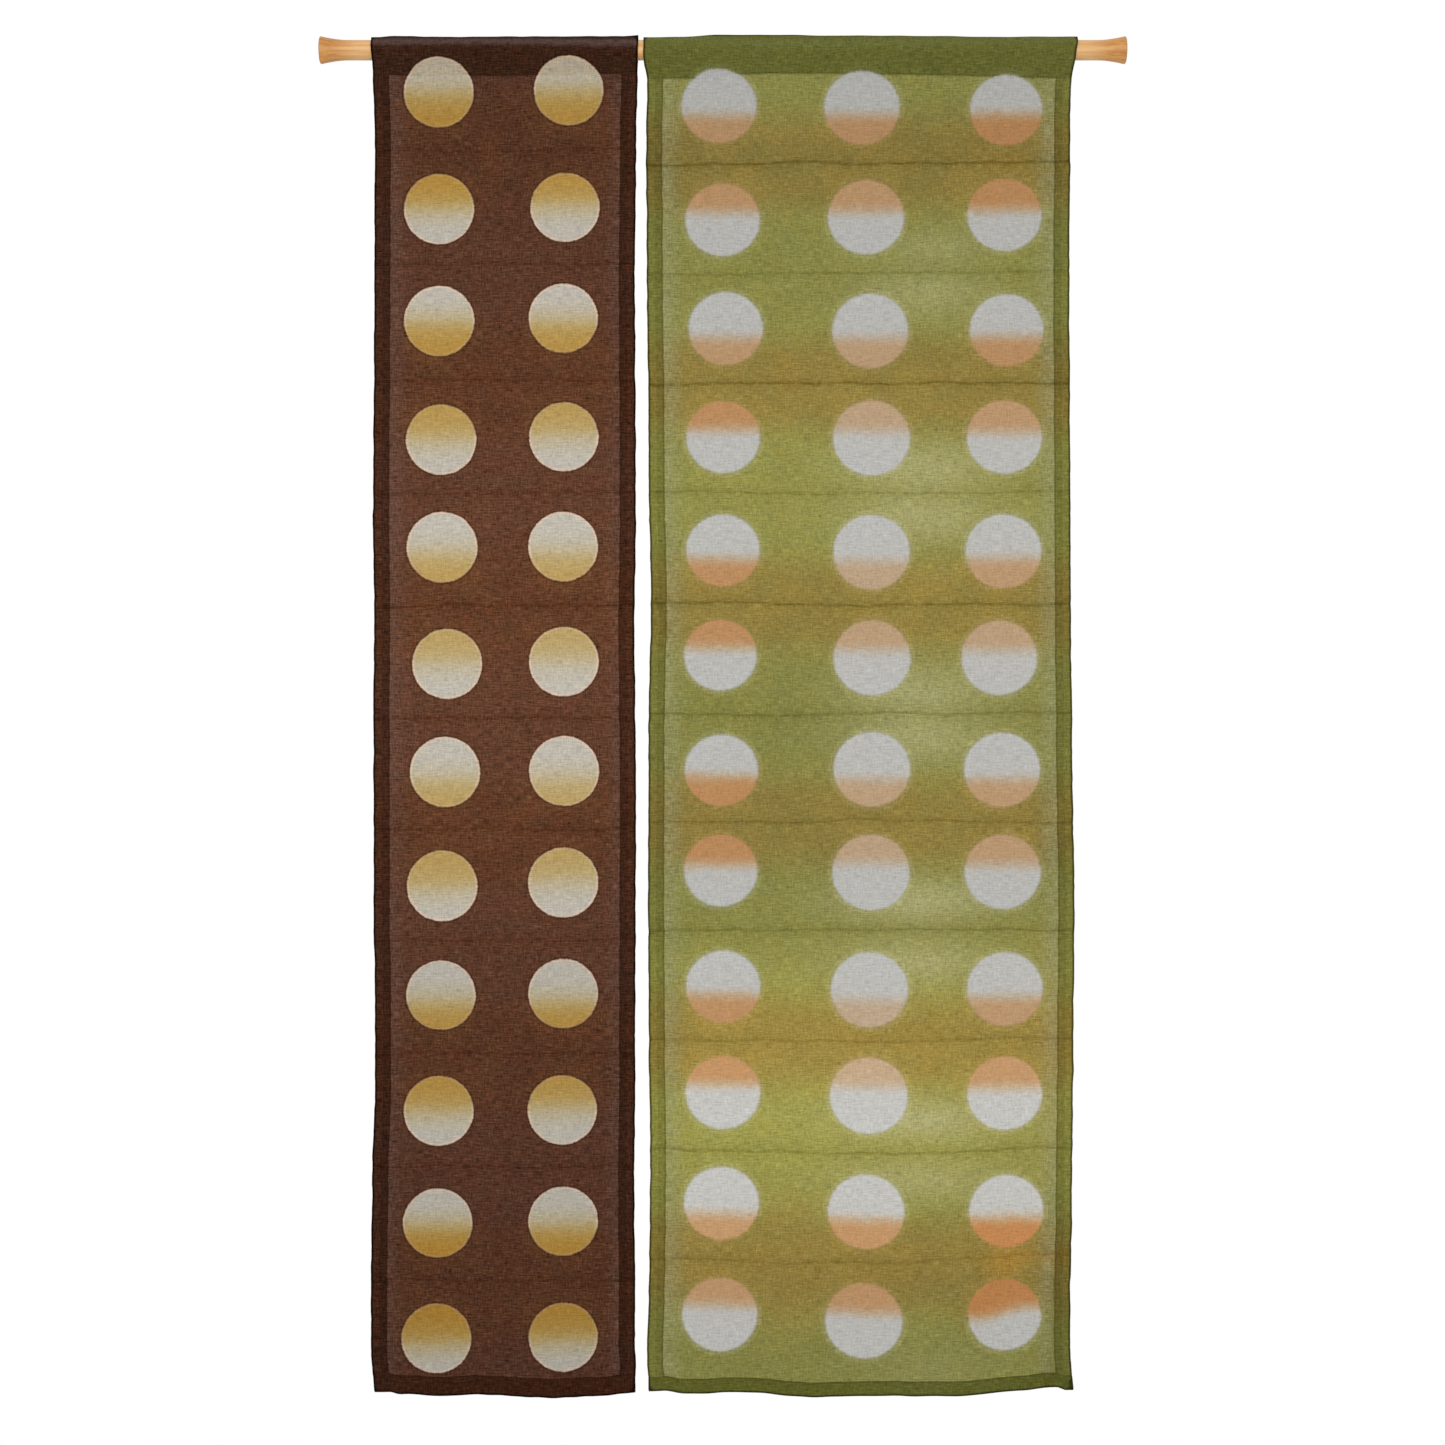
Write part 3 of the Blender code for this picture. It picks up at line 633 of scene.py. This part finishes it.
def nearest_crease(panel, share, height):
    """Distance to the nearest crease line, and how strongly that crease shows."""
    away = np.array([np.abs(height - crease_height(panel, crease, share)) for crease in panel.creases])
    strengths = np.array([crease.strength for crease in panel.creases])
    return away.min(axis=0), strengths[away.argmin(axis=0)]


def cloud_cover(clouds, x, height):
    """How strongly a set of soft clouds of colour covers each point, from 0 to 1."""
    cover = 0.0 * x
    for place, middle, wide, tall, strength in clouds:
        spread = ((x - place) / wide) ** 2 + ((height - middle) / tall) ** 2
        cover = cover + strength * np.exp(-spread)
    return np.clip(cover, 0.0, 1.0)


def paint_attribute(mesh, name, layers):
    """Keeps three values at each point of a mesh for its material to read."""
    values = np.stack(np.broadcast_arrays(*layers), axis=-1).astype(np.float32)
    attribute = mesh.attributes.new(name, "FLOAT_VECTOR", "POINT")
    attribute.data.foreach_set("vector", values.ravel())


def add_object(name, data):
    """Adds an object to the scene."""
    added = bpy.data.objects.new(name, data)
    bpy.context.scene.collection.objects.link(added)
    return added


def add_mesh(name, points, faces):
    """Adds an object made of these points and faces, smoothly shaded."""
    mesh = bpy.data.meshes.new(name)
    mesh.from_pydata(points, [], faces)
    mesh.shade_smooth()
    return add_object(name, mesh)


def build_cloth(panel):
    """One panel's sheet with its hems turned over and its pocket closed round the rod."""
    share, column_lift, in_front = sheet_columns(panel)
    height, lift, turned = flat_rows(panel, share)
    back = cloth_back(panel, share, height) + lift + column_lift
    pocket = pocket_rows(panel, share, column_lift)
    end = end_rows(panel, share)
    above = np.array(pocket + end)
    y = np.vstack((back, above[:, 0]))
    z = np.vstack((height, above[:, 1]))
    pattern = np.vstack((height, above[:, 2]))
    left, right = side_edges(panel, z)
    x = left + share * (right - left)
    bottom = bottom_height(panel, share)
    pattern[:turned] = 2 * bottom - pattern[:turned]
    unrolled = np.where(in_front, x, 2 * np.where(share < 0.5, left, right) - x)
    inward = np.minimum(share, 1.0 - share) * width_of(panel)
    side_inside = np.where(in_front, inward - SIDE_HEM_WIDTH, -SIDE_HEM_WIDTH) + 0.0 * z
    end_inside = np.minimum(z - bottom - panel.bottom_hem, seam_height(panel, share) - z)
    end_inside[:turned] = -panel.bottom_hem
    end_inside[-len(above):] = np.minimum(end_inside[-len(above):], 0.0)
    top = z[-len(above):].max()
    edge = np.minimum(np.minimum(inward + 0.0 * z, z - bottom), top - z)
    keep = np.ones(x.shape, bool)
    keep[:turned, ~in_front] = False
    keep[-len(end):, ~in_front] = False
    number = np.cumsum(keep).reshape(keep.shape) - 1
    points = np.stack((x, y, z), axis=-1)[keep]
    corners = (number[:-1, :-1], number[:-1, 1:], number[1:, 1:], number[1:, :-1])
    whole = keep[:-1, :-1] & keep[:-1, 1:] & keep[1:, 1:] & keep[1:, :-1]
    faces = np.stack([corner[whole] for corner in corners], axis=-1)
    cloth = add_mesh(panel.name, points.tolist(), faces.tolist())
    dot_inside, depth, light = nearest_dot(panel, unrolled, pattern)
    creased = pattern.copy()
    creased[:turned] = FAR_AWAY
    crease_away, crease_strength = nearest_crease(panel, share, creased)
    clouds = [cloud_cover(kind, unrolled, pattern)
              for kind in (panel.pale_clouds, panel.bright_clouds, panel.stain_clouds, panel.dark_clouds)]
    layers = {
        "marks": (dot_inside, dye_tone(panel, unrolled, pattern), crease_away),
        "borders": (side_inside, end_inside, edge),
        "dyes": (depth, light, crease_strength),
        "washes": clouds[:3],
        "flat": (unrolled, pattern, clouds[3]),
    }
    for name, values in layers.items():
        paint_attribute(cloth.data, name, [layer[keep] for layer in values])
    thicken(cloth)
    cloth.data.materials.append(cloth_material(panel))
    return cloth


def thicken(cloth):
    """Gives a sheet its thickness, as a closed mesh."""
    solid = cloth.modifiers.new("thickness", "SOLIDIFY")
    solid.thickness = CLOTH_THICKNESS
    solid.offset = 0.0
    state = bpy.context.evaluated_depsgraph_get()
    mesh = bpy.data.meshes.new_from_object(cloth.evaluated_get(state), preserve_all_data_layers=True,
                                           depsgraph=state)
    cloth.modifiers.clear()
    cloth.data = mesh


def stitch_runs(panel):
    """The lines of stitches: the shares and heights of their middles, and whether they are upright."""
    width = width_of(panel)
    inset = (SIDE_HEM_WIDTH - STITCH_INSET) / width
    heights = np.arange(LOWEST_STITCH, panel.stitch_height - SIDE_STITCHES_END, STITCH_PITCH)
    across = np.arange(ACROSS_STITCHES_END, width - ACROSS_STITCHES_END, STITCH_PITCH) / width
    for share in (inset, 1.0 - inset):
        yield share + 0.0 * heights, heights, True
    yield across, bottom_height(panel, across) + panel.bottom_hem - STITCH_INSET, False
    yield across, seam_height(panel, across) - SEAM_STITCH_DROP, False


def build_stitches(panel):
    """The sewing thread along a panel's hems and under its pocket, as small closed loops of thread."""
    points = []
    faces = []
    for share, height, upright in stitch_runs(panel):
        left, right = side_edges(panel, height)
        x = left + share * (right - left)
        spread = share * STITCH_SLANT_SPREAD
        slant = STITCH_SLANT * rough(spread, height, *STITCH_SLANT_SIZE, panel.seed + 20)
        behind = end_fold(panel, share)
        if upright:
            behind = 2 * TURN_RADIUS
        elif height[0] > 2 * panel.stitch_height:
            behind = back_layer(panel, share)
        middle = cloth_back(panel, share, height)
        off_dots = nearest_dot(panel, x, height)[0] <= 0.0
        front = middle - CLOTH_THICKNESS / 2
        rear = middle + behind + CLOTH_THICKNESS / 2
        for side, lift, shown in ((-1.0, front, off_dots), (1.0, rear, slice(None))):
            for centre in np.stack((x, lift, height, slant), axis=-1)[shown]:
                add_stitch(points, faces, centre, upright, side)
    stitches = add_mesh(panel.name + "_stitches", points, faces)
    stitches.data.materials.append(thread_material(panel))
    return stitches


def angles_round(sides):
    """The angles at the corners of a circle."""
    return [2 * math.pi * corner / sides for corner in range(sides)]


def add_stitch(points, faces, centre, upright, side):
    """One stitch: a short thread that dips into the cloth at both ends."""
    x, y, z, slant = centre
    along = (slant, 1.0) if upright else (1.0, slant)
    across = (along[1], -along[0])
    start = len(points)
    for place, width, rise in STITCH_RINGS:
        for angle in angles_round(STITCH_SIDES):
            out = width * math.cos(angle)
            points.append((x + along[0] * place + across[0] * out,
                           y + side * (rise + width * math.sin(angle)),
                           z + along[1] * place + across[1] * out))
    for ring in range(len(STITCH_RINGS) - 1):
        for corner in range(STITCH_SIDES):
            this = start + ring * STITCH_SIDES + corner
            beside = start + ring * STITCH_SIDES + (corner + 1) % STITCH_SIDES
            faces.append((this, beside, beside + STITCH_SIDES, this + STITCH_SIDES))
    last = start + (len(STITCH_RINGS) - 1) * STITCH_SIDES
    faces.append([start + corner for corner in reversed(range(STITCH_SIDES))])
    faces.append([last + corner for corner in range(STITCH_SIDES)])


def rod_profile():
    """The rod's outline above its axis, as (X, radius) from the left end's centre to the right end's."""
    half = ROD_LENGTH / 2
    end = [(half, 0.0), (half, ROD_END_RADIUS * ROD_END_RING), (half, ROD_END_RADIUS - ROD_RIM_ROUND)]
    for step in range(1, ROD_RIM_STEPS + 1):
        angle = math.pi / 2 * step / ROD_RIM_STEPS
        end.append((half - ROD_RIM_ROUND * (1 - math.cos(angle)),
                    ROD_END_RADIUS - ROD_RIM_ROUND * (1 - math.sin(angle))))
    flare = ROD_FLARE_LENGTH - ROD_RIM_ROUND
    for step in range(1, ROD_FLARE_STEPS + 1):
        part = 1.0 - step / ROD_FLARE_STEPS
        radius = ROD_RADIUS + (ROD_END_RADIUS - ROD_RADIUS) * part ** ROD_FLARE_POWER
        end.append((half - ROD_FLARE_LENGTH + flare * part, radius))
    return [(-x, radius) for x, radius in end] + end[::-1]


def build_rod():
    """The rod, turned from its outline."""
    (left, _), *outline, (right, _) = rod_profile()
    points = [(x, -radius * math.sin(angle), radius * math.cos(angle))
              for x, radius in outline for angle in angles_round(ROD_SIDES)]
    last = len(points) - ROD_SIDES
    faces = []
    for corner in range(ROD_SIDES):
        beside = (corner + 1) % ROD_SIDES
        faces.append((len(points), beside, corner))
        for ring in range(0, last, ROD_SIDES):
            following = ring + ROD_SIDES
            faces.append((ring + corner, ring + beside, following + beside, following + corner))
        faces.append((last + corner, last + beside, len(points) + 1))
    rod = add_mesh("wooden_rod", points + [(left, 0.0, 0.0), (right, 0.0, 0.0)], faces)
    rod.data.set_sharp_from_angle(angle=ROD_SHARP_ANGLE)
    rod.data.materials.append(wood_material())
    return rod


class Graph:
    """A material's nodes, added and joined one at a time."""

    def __init__(self, name):
        self.material = bpy.data.materials.new(name)
        self.material.use_nodes = True
        self.tree = self.material.node_tree
        self.tree.nodes.clear()

    def add(self, kind, inputs, output=0, **settings):
        """Adds a node with its settings and inputs, and returns one of its outputs."""
        node = self.tree.nodes.new(kind)
        for name, value in settings.items():
            setattr(node, name, value)
        for key, value in inputs.items():
            socket = node.inputs[key]
            if isinstance(value, bpy.types.NodeSocket):
                self.tree.links.new(value, socket)
            elif socket.type == "RGBA":
                socket.default_value = (*value[:3], 1.0)
            else:
                socket.default_value = value
        return node.outputs[output]

    def math(self, operation, first, second=0.0):
        """One sum on one or two values."""
        return self.add("ShaderNodeMath", {0: first, 1: second}, operation=operation)

    def times(self, *factors):
        """The product of several values."""
        product = factors[0]
        for factor in factors[1:]:
            product = self.math("MULTIPLY", product, factor)
        return product

    def flip(self, value):
        """One less the value."""
        return self.math("SUBTRACT", 1.0, value)

    def ramp(self, value, low, high, start=0.0, end=1.0):
        """Goes softly from start to end as the value goes from low to high."""
        limits = {"Value": value, "From Min": low, "From Max": high, "To Min": start, "To Max": end}
        return self.add("ShaderNodeMapRange", limits, interpolation_type="SMOOTHSTEP")

    def mix(self, share, first, second):
        """Goes from the first colour to the second."""
        return self.add("ShaderNodeMix", {0: share, 6: first, 7: second}, output=2, data_type="RGBA")

    def tint(self, colour, tint):
        """The colour times a tint."""
        return self.add("ShaderNodeVectorMath", {0: colour, 1: tint}, operation="MULTIPLY")

    def shade(self, colour, factor):
        """The colour times a factor."""
        return self.add("ShaderNodeVectorMath", {0: colour, "Scale": factor}, operation="SCALE")

    def noise(self, place, sizes, detail=2.0, roughness=0.5):
        """Noise with about these sizes of patch along the place's three directions."""
        scale = [1.0 / size for size in sizes] + [0.0] * (3 - len(sizes))
        stretched = self.add("ShaderNodeVectorMath", {0: place, 1: scale}, operation="MULTIPLY")
        inputs = {"Vector": stretched, "Scale": 1.0, "Detail": detail, "Roughness": roughness}
        return self.add("ShaderNodeTexNoise", inputs)

    def split(self, vector):
        """A vector's three values."""
        return self.add("ShaderNodeSeparateXYZ", {0: vector}).node.outputs

    def attribute(self, name):
        """One of the mesh's own attributes, as its three values and as a vector."""
        vector = self.add("ShaderNodeAttribute", {}, output="Vector", attribute_name=name)
        return (*self.split(vector), vector)

    def relief(self, height, strength, distance):
        """The normal of fine relief with this height."""
        inputs = {"Strength": strength, "Distance": distance, "Height": height}
        return self.add("ShaderNodeBump", inputs, output="Normal")

    def surface(self, colour, roughness, **more):
        """An opaque surface, with more of its inputs where they are needed."""
        inputs = {"Base Color": colour, "Roughness": roughness, **more}
        return self.add("ShaderNodeBsdfPrincipled", inputs)

    def finish(self, shader):
        """Ends the material with a shader."""
        end = self.tree.nodes.new("ShaderNodeOutputMaterial")
        self.tree.links.new(shader, end.inputs["Surface"])
        return self.material


class ClothGraph(Graph):
    """The material of one panel: dyed cloth with its dots, washes, creases, hems and threads."""

    def __init__(self, panel):
        super().__init__(panel.name)
        self.panel = panel
        self.dot_inside, self.tone, self.crease, _ = self.attribute("marks")
        self.side_inside, self.end_inside, self.edge, _ = self.attribute("borders")
        self.depth, self.light, self.crease_strength, _ = self.attribute("dyes")
        self.pale, self.bright, self.stain, _ = self.attribute("washes")
        _, self.height, self.dark, flat = self.attribute("flat")
        for name, (sizes, detail, roughness) in CLOTH_NOISES.items():
            setattr(self, name, self.noise(flat, sizes, detail, roughness))
        self.slubs = self.uneven(0.0, (self.weft, 1.3), (self.warp, 1.0))
        self.on_side, self.on_end = (
            self.ramp(self.uneven(inside, (self.bleed, 0.0008)), 0.0004, -0.0004)
            for inside in (self.side_inside, self.end_inside))
        self.on_hem = self.math("MAXIMUM", self.on_side, self.on_end)
        self.rim = self.uneven(self.dot_inside, (self.bleed, 0.0016), (self.patch, 0.0016))
        softness = panel.dot_dye.edge_softness
        self.on_dot = self.ramp(self.rim, -softness, softness)
        wandering = self.uneven(self.tone, (self.cloud, 0.016), (self.patch, 0.007))
        softness = panel.ground_dye.softness
        self.band = self.ramp(wandering, softness - BAND_INSET, -softness - BAND_INSET)

    def uneven(self, value, *waves):
        """A value made uneven by noises, each with its own amount."""
        for wave, amount in waves:
            value = self.math("ADD", value, self.times(self.math("SUBTRACT", wave, 0.5), amount))
        return value

    def ground(self):
        """The ground's open and banded dye, with its stains, its brighter zones and its drift of hue."""
        dye = self.panel.ground_dye
        colour = self.mix(self.band, dye.open_colour, dye.band_colour)
        beside_dot = self.times(self.ramp(self.rim, -0.026, 0.0), self.depth, 0.8)
        blotch = self.times(self.ramp(self.cloud, 0.35, 0.75), 0.6)
        stained = self.times(self.math("ADD", beside_dot, blotch), self.band, dye.stain_amount)
        stained = self.math("MAXIMUM", stained, self.stain)
        colour = self.mix(stained, colour, dye.stain_colour)
        colour = self.tint(colour, self.mix(self.bright, WHITE, dye.bright_tint))
        colour = self.tint(colour, self.mix(self.ramp(self.drift, 0.30, 0.70), dye.warm, dye.cool))
        colour = self.shade(colour, self.flip(self.dark))
        return self.shade(colour, self.ramp(self.cloud, 0.2, 0.8, 0.94, 1.06))

    def washed(self, colour):
        """The ground's paler washes: soft clouds, and painted light along the side hems, where light from
        behind shows through the weave that the stitching pulls apart.
        """
        dye = self.panel.ground_dye
        clouded = self.times(self.pale, self.ramp(self.patch, 0.25, 0.75, 0.85, 1.15))
        colour = self.mix(clouded, colour, dye.pale_colour)
        # Painted light: a paler margin inside each side hem, where light from behind shows through the weave
        # that the stitching pulls apart.
        backlit_margin = self.times(self.ramp(self.side_inside, dye.backlit_margin_width, 0.0015), self.flip(self.on_hem),
                            self.ramp(self.dark, 0.12, 0.17, 1.0, 0.3), dye.backlit_margin_amount)
        mottled = self.times(self.ramp(self.slubs, -0.30, 0.30, 0.6, 1.3),
                             self.ramp(self.patch, 0.30, 0.70, 0.7, 1.25))
        return self.mix(self.times(backlit_margin, mottled), colour, dye.backlit_margin_colour)

    def creased(self, colour):
        """Darkens the creases: a thin, broken line with a soft smudge along it, partly dye gathered in the
        fold and partly painted shade of its groove.
        """
        away = self.uneven(self.crease, (self.bleed, 0.0034), (self.patch, 0.0016))
        line = self.times(self.ramp(away, 0.0030, 0.0006), self.ramp(self.patch, 0.30, 0.60, 0.55, 1.0))
        smudge = self.times(self.ramp(self.crease, 0.014, 0.001), self.ramp(self.patch, 0.25, 0.65), 0.3)
        amount = self.times(self.math("MAXIMUM", line, smudge), self.crease_strength)
        return self.mix(amount, colour, self.tint(colour, self.panel.ground_dye.crease_dye_and_shade_tint))

    def dotted(self, ground):
        """Puts the dots on the ground, each going from open cloth to the dye of its band."""
        dye = self.panel.dot_dye
        outline = self.times(self.ramp(self.rim, -0.0036, -0.0020), self.ramp(self.rim, -0.0004, -0.0016))
        ground = self.shade(ground, self.ramp(outline, 0.0, 1.0, 1.0, dye.outline_share))
        out_of_band = self.uneven(self.tone, (self.patch, 0.009), (self.bleed, 0.004))
        quick = self.ramp(out_of_band, dye.quick_width, -dye.quick_width)
        slow = self.ramp(out_of_band, dye.slow_width, -dye.slow_width)
        dyed = self.math("ADD", self.times(quick, dye.quick_share), self.times(slow, 1.0 - dye.quick_share))
        dyed = self.times(dyed, self.depth)
        stain = self.add("ShaderNodeGamma", {"Color": dye.dye_tint, "Gamma": dyed})
        dot = self.shade(self.tint(stain, dye.open_colour[:3]), self.light)
        colour = self.mix(self.on_dot, ground, dot)
        rim_line = self.times(self.ramp(self.rim, dye.rim_from, dye.rim_from + 0.0010),
                              self.ramp(self.rim, dye.rim_to + 0.0010, dye.rim_to),
                              self.ramp(dyed, 0.7, 0.1, 0.2, 1.0), dye.rim_amount)
        return self.mix(rim_line, colour, self.shade(dye.rim_colour[:3], self.light))

    def grained(self, colour):
        """The threads' light and dark, strongest on the ground, and a few dark specks."""
        grain = self.math("SUBTRACT", self.times(self.slubs, 2.0),
                          self.times(self.ramp(self.fleck, 0.46, 0.30), 0.7))
        grains = {0: self.on_dot, 2: self.panel.ground_grain, 3: self.panel.dot_grain}
        amount = self.add("ShaderNodeMix", grains, data_type="FLOAT")
        amount = self.times(amount, self.ramp(self.on_hem, 0.0, 1.0, 1.0, 1.2))
        pale = self.times(self.ramp(self.slubs, 0.02, 0.45), self.flip(self.on_dot), self.panel.pale_threads)
        colour = self.mix(pale, colour, self.panel.ground_dye.pale_colour)
        colour = self.shade(colour, self.math("ADD", 1.02, self.times(grain, amount)))
        specks = self.times(self.ramp(self.speck, 0.33, 0.27), self.flip(self.on_dot), 0.22)
        return self.shade(colour, self.flip(specks))

    def hemmed(self, colour):
        """Paints shade on the hems and the pocket, where the doubled cloth lets less light through, most
        where its raw edge is turned in; also a painted highlight along the top of the pocket, and painted
        shade along the folded edges.
        """
        hems = self.panel.hems
        # Painted shade of the hems and the pocket, where the doubled cloth, and the rod behind the pocket,
        # let less light through.
        end_shade = self.mix(self.on_dot, hems.end_hem_shade, hems.heading_dot_shade)
        tint = self.mix(self.on_end, self.mix(self.on_side, WHITE, hems.side_hem_shade), end_shade)
        colour = self.tint(colour, tint)
        at_bottom = self.times(self.on_end, self.ramp(self.height, -0.5, -1.0))
        colour = self.tint(colour, self.mix(at_bottom, WHITE, hems.bottom_hem_shade))
        turned_in = self.times(self.on_side, self.flip(self.on_end),
                               self.ramp(self.side_inside, -0.0108, -0.0092))
        beside = self.math("MINIMUM", self.side_inside, self.end_inside)
        seam = self.times(self.ramp(beside, -0.0030, -0.0012), self.ramp(beside, 0.0004, -0.0004),
                          self.flip(self.on_dot))
        colour = self.shade(colour, self.ramp(turned_in, 0.0, 1.0, 1.0, hems.turned_in_shade))
        colour = self.shade(colour, self.ramp(seam, 0.0, 1.0, 1.0, 0.82))
        # Painted highlight along the top of the pocket, where light from above falls on the cloth round the
        # rod.
        top_highlight = self.times(self.ramp(self.height, 0.0022, 0.0105), self.ramp(self.height, 0.0225, 0.0130),
                           self.ramp(self.slubs, -0.3, 0.3, 0.5, 1.4), hems.top_highlight_amount)
        colour = self.mix(top_highlight, colour, hems.top_highlight_colour)
        # Painted shade along the folded sides, bottom and top of the panel.
        return self.shade(colour, self.ramp(self.edge, 0.0010, 0.0034, hems.edge_shade_share, 1.0))


def cloth_material(panel):
    """Open plain hemp cloth, matt, and letting a little light through."""
    graph = ClothGraph(panel)
    ground = graph.creased(graph.washed(graph.ground()))
    colour = graph.hemmed(graph.grained(graph.dotted(ground)))
    threads = graph.ramp(graph.slubs, -0.22, 0.22)
    height = graph.math("ADD", graph.times(graph.slubs, 0.6), graph.times(graph.fleck, 0.5))
    normal = graph.relief(height, 0.6, 0.0005)
    roughness = graph.ramp(threads, 0.0, 1.0, 0.80, 0.95)
    front = graph.surface(colour, roughness, **{"Normal": normal, "Specular IOR Level": 0.03})
    through = graph.add("ShaderNodeBsdfTranslucent", {"Color": colour, "Normal": normal})
    return graph.finish(graph.add("ShaderNodeMixShader", {0: SHEERNESS, 1: front, 2: through}))


def thread_material(panel):
    """Matt sewing thread in the colour of the hems."""
    graph = Graph(panel.name + "_thread")
    place = graph.add("ShaderNodeTexCoord", {}, output="Object")
    twist = graph.noise(place, (0.0008, 0.0008, 0.0008))
    colour = graph.mix(twist, panel.hems.thread_dark, panel.hems.thread_light)
    normal = graph.relief(twist, 0.4, 0.0001)
    return graph.finish(graph.surface(colour, 0.7, **{"Normal": normal, "Specular IOR Level": 0.2}))


def wood_material():
    """Plain light wood with a fine lengthwise grain, more orange towards its ends."""
    graph = Graph("rod_wood")
    place = graph.add("ShaderNodeTexCoord", {}, output="Object")
    along = graph.math("ABSOLUTE", graph.split(place)[0])
    grain = graph.noise(place, (0.090, 0.0035, 0.0035), detail=4.0, roughness=0.6)
    pores = graph.noise(place, (0.012, 0.0009, 0.0009), detail=2.0)
    cloud = graph.noise(place, (0.050, 0.020, 0.020), detail=2.0)
    grown = graph.ramp(grain, 0.30, 0.70)
    light = graph.mix(grown, paint(189, 140, 84), paint(208, 166, 112))
    deep = graph.mix(grown, paint(164, 105, 48), paint(190, 138, 72))
    to_end = graph.ramp(graph.math("ADD", along, graph.times(cloud, 0.02)), 0.462, 0.500)
    colour = graph.mix(to_end, light, deep)
    colour = graph.shade(colour, graph.ramp(pores, 0.25, 0.45, 0.86, 1.0))
    rim = graph.ramp(along, ROD_LENGTH / 2 - 0.0012, ROD_LENGTH / 2 - 0.0002)
    colour = graph.mix(graph.times(rim, 0.75), colour, paint(120, 88, 66))
    normal = graph.relief(grain, 0.3, 0.0003)
    roughness = graph.ramp(grain, 0.3, 0.7, 0.40, 0.52)
    return graph.finish(graph.surface(colour, roughness, **{"Normal": normal, "Specular IOR Level": 0.35}))


def add_camera():
    """The photograph's view: level with the middle of the picture, and as wide as it."""
    data = bpy.data.cameras.new("camera")
    data.sensor_width = SENSOR_WIDTH
    data.lens = SENSOR_WIDTH * CAMERA_DISTANCE / PICTURE_WIDTH
    camera = add_object("camera", data)
    camera.location = (CAMERA_SIDE, -CAMERA_DISTANCE, CAMERA_HEIGHT)
    camera.rotation_euler = (math.radians(90), 0.0, 0.0)
    bpy.context.scene.camera = camera


def add_lights():
    """A bright room all round, and a large soft lamp above the front."""
    world = bpy.data.worlds.new("studio")
    world.use_nodes = True
    light = world.node_tree.nodes["Background"].inputs
    light["Color"].default_value = (*WHITE, 1.0)
    light["Strength"].default_value = WORLD_STRENGTH
    bpy.context.scene.world = world
    bpy.context.scene.view_settings.view_transform = "Standard"
    data = bpy.data.lights.new("soft_lamp", "AREA")
    data.shape = "DISK"
    data.size = LAMP_SIZE
    data.energy = LAMP_POWER
    lamp = add_object("soft_lamp", data)
    lamp.location = LAMP_PLACE
    toward = Vector(LAMP_TARGET) - Vector(LAMP_PLACE)
    lamp.rotation_euler = toward.to_track_quat("-Z", "Y").to_euler()


def add_floor():
    """A plain pale floor below the curtain."""
    rim = [(FLOOR_RADIUS * math.cos(angle), FLOOR_RADIUS * math.sin(angle), 0.0)
           for angle in angles_round(FLOOR_SIDES)]
    floor = add_mesh("floor", rim, [range(FLOOR_SIDES)])
    graph = Graph("floor")
    floor.data.materials.append(graph.finish(graph.surface(FLOOR_COLOUR, 0.9)))
    floor.location = (0.0, 0.0, FLOOR_HEIGHT)


add_camera()
add_lights()
add_floor()

wooden_rod = build_rod()
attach(wooden_rod, "root")
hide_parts("rod")

for each_panel in PANELS:
    sheet = build_cloth(each_panel)
    thread = build_stitches(each_panel)
    for piece in (sheet, thread):
        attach(piece, "root")
    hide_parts(each_panel.node)
